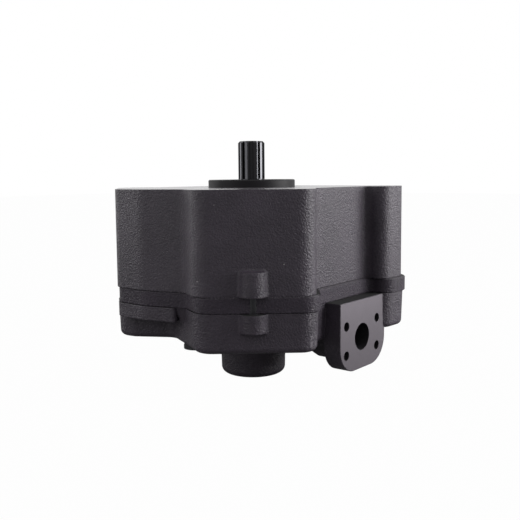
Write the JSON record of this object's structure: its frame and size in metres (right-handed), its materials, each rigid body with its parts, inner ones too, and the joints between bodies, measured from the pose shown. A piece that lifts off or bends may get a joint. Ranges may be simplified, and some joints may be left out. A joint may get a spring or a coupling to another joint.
{
  "type": "hydraulic vane pump",
  "caption": "Vane pump in a lobed three-piece iron casing, with a round pilot, splined shaft, four-bolt outlet and inlet pads, rear bearing boss and relief valve.",
  "frame": {"origin": "shaft axis where it crosses the machined mounting face", "axes": "+Z along the shaft and out of the pump; +X the way the outlet port faces"},
  "size_m": [0.2296, 0.2306, 0.223],
  "materials": {
    "casting_black": "rough black-coated iron casting with machined faces",
    "shaft_steel": "dark heat-treated steel",
    "bearing_steel": "ground bearing steel",
    "rolling_steel": "polished bearing steel",
    "cage_resin": "moulded cage",
    "ring_steel": "spring steel",
    "seal_rubber": "oil-resistant rubber",
    "cartridge_steel": "ground tool steel",
    "side_plate_iron": "ground iron",
    "fastener_steel": "black oxide steel",
    "washer_steel": "blackened sealing washer"
  },
  "bodies": {
    "casing": {"upper_housing": "casting_black", "mid_plate": "casting_black", "lower_cover": "casting_black", "front_bearing_outer": "bearing_steel", "bearing_retaining_ring": "ring_steel", "shaft_seal": "seal_rubber", "shaft_seal_spring": "ring_steel", "pressure_plate": "side_plate_iron", "pressure_plate_spring": "ring_steel", "pressure_plate_seal": "seal_rubber", "cam_ring": "cartridge_steel", "cartridge_pins": "fastener_steel", "rear_bearing_shell": "bearing_steel", "upper_face_seal": "seal_rubber", "lower_face_seal": "seal_rubber", "gallery_seal": "seal_rubber", "casing_dowels": "fastener_steel", "cover_bolts": "fastener_steel", "relief_plug": "fastener_steel", "relief_plug_seal": "washer_steel", "relief_spring": "ring_steel"},
    "shaft": {"drive_shaft": "shaft_steel", "rotor": "cartridge_steel", "front_bearing_inner": "bearing_steel", "shaft_retaining_ring": "ring_steel"},
    "ball_set": {"front_bearing_balls": "rolling_steel", "front_bearing_cage": "cage_resin"},
    "needle_set": {"rear_bearing_needles": "rolling_steel", "rear_bearing_cage": "cage_resin"},
    "poppet": {"relief_poppet": "fastener_steel"},
    "vane_01_body": {"vane_01": "cartridge_steel"},
    "vane_02_body": {"vane_02": "cartridge_steel"},
    "vane_03_body": {"vane_03": "cartridge_steel"},
    "vane_04_body": {"vane_04": "cartridge_steel"},
    "vane_05_body": {"vane_05": "cartridge_steel"},
    "vane_06_body": {"vane_06": "cartridge_steel"},
    "vane_07_body": {"vane_07": "cartridge_steel"},
    "vane_08_body": {"vane_08": "cartridge_steel"},
    "vane_09_body": {"vane_09": "cartridge_steel"},
    "vane_10_body": {"vane_10": "cartridge_steel"}
  },
  "joints": [
    {"name": "shaft_spin", "type": "hinge", "parent": "casing", "child": "shaft", "pos_m": [0, 0, 0], "axis": [0, 0, 1], "continuous": true},
    {"name": "ball_set_spin", "type": "hinge", "parent": "casing", "child": "ball_set", "pos_m": [0, 0, 0], "axis": [0, 0, 1], "continuous": true},
    {"name": "needle_set_spin", "type": "hinge", "parent": "casing", "child": "needle_set", "pos_m": [0, 0, 0], "axis": [0, 0, 1], "continuous": true},
    {"name": "relief_poppet_slide", "type": "slide", "parent": "casing", "child": "poppet", "axis": [0, 0, -1], "range_m": [0, 0.003], "stiffness_N_per_m": 20000, "springref_m": -0.006, "deforming": ["relief_spring"]},
    {"name": "vane_01_slide", "type": "slide", "parent": "shaft", "child": "vane_01_body", "axis": [0.9877, 0.1564, 0], "range_m": [0, 0.00034]},
    {"name": "vane_02_slide", "type": "slide", "parent": "shaft", "child": "vane_02_body", "axis": [0.7071, 0.7071, 0], "range_m": [0, 0.00268]},
    {"name": "vane_03_slide", "type": "slide", "parent": "shaft", "child": "vane_03_body", "axis": [0.1564, 0.9877, 0], "range_m": [0, 0.00509]},
    {"name": "vane_04_slide", "type": "slide", "parent": "shaft", "child": "vane_04_body", "axis": [-0.454, 0.891, 0], "range_m": [0, 0.00416]},
    {"name": "vane_05_slide", "type": "slide", "parent": "shaft", "child": "vane_05_body", "axis": [-0.891, 0.454, 0], "range_m": [0, 0.00122]},
    {"name": "vane_06_slide", "type": "slide", "parent": "shaft", "child": "vane_06_body", "axis": [-0.9877, -0.1564, 0], "range_m": [0, 0.00034]},
    {"name": "vane_07_slide", "type": "slide", "parent": "shaft", "child": "vane_07_body", "axis": [-0.7071, -0.7071, 0], "range_m": [0, 0.00268]},
    {"name": "vane_08_slide", "type": "slide", "parent": "shaft", "child": "vane_08_body", "axis": [-0.1564, -0.9877, 0], "range_m": [0, 0.00509]},
    {"name": "vane_09_slide", "type": "slide", "parent": "shaft", "child": "vane_09_body", "axis": [0.454, -0.891, 0], "range_m": [0, 0.00416]},
    {"name": "vane_10_slide", "type": "slide", "parent": "shaft", "child": "vane_10_body", "axis": [0.891, -0.454, 0], "range_m": [0, 0.00122]}
  ],
  "couplings": [
    {"joint": "ball_set_spin", "follows": "shaft_spin", "ratio": 0.39647},
    {"joint": "needle_set_spin", "follows": "shaft_spin", "ratio": 0.43609}
  ]
}
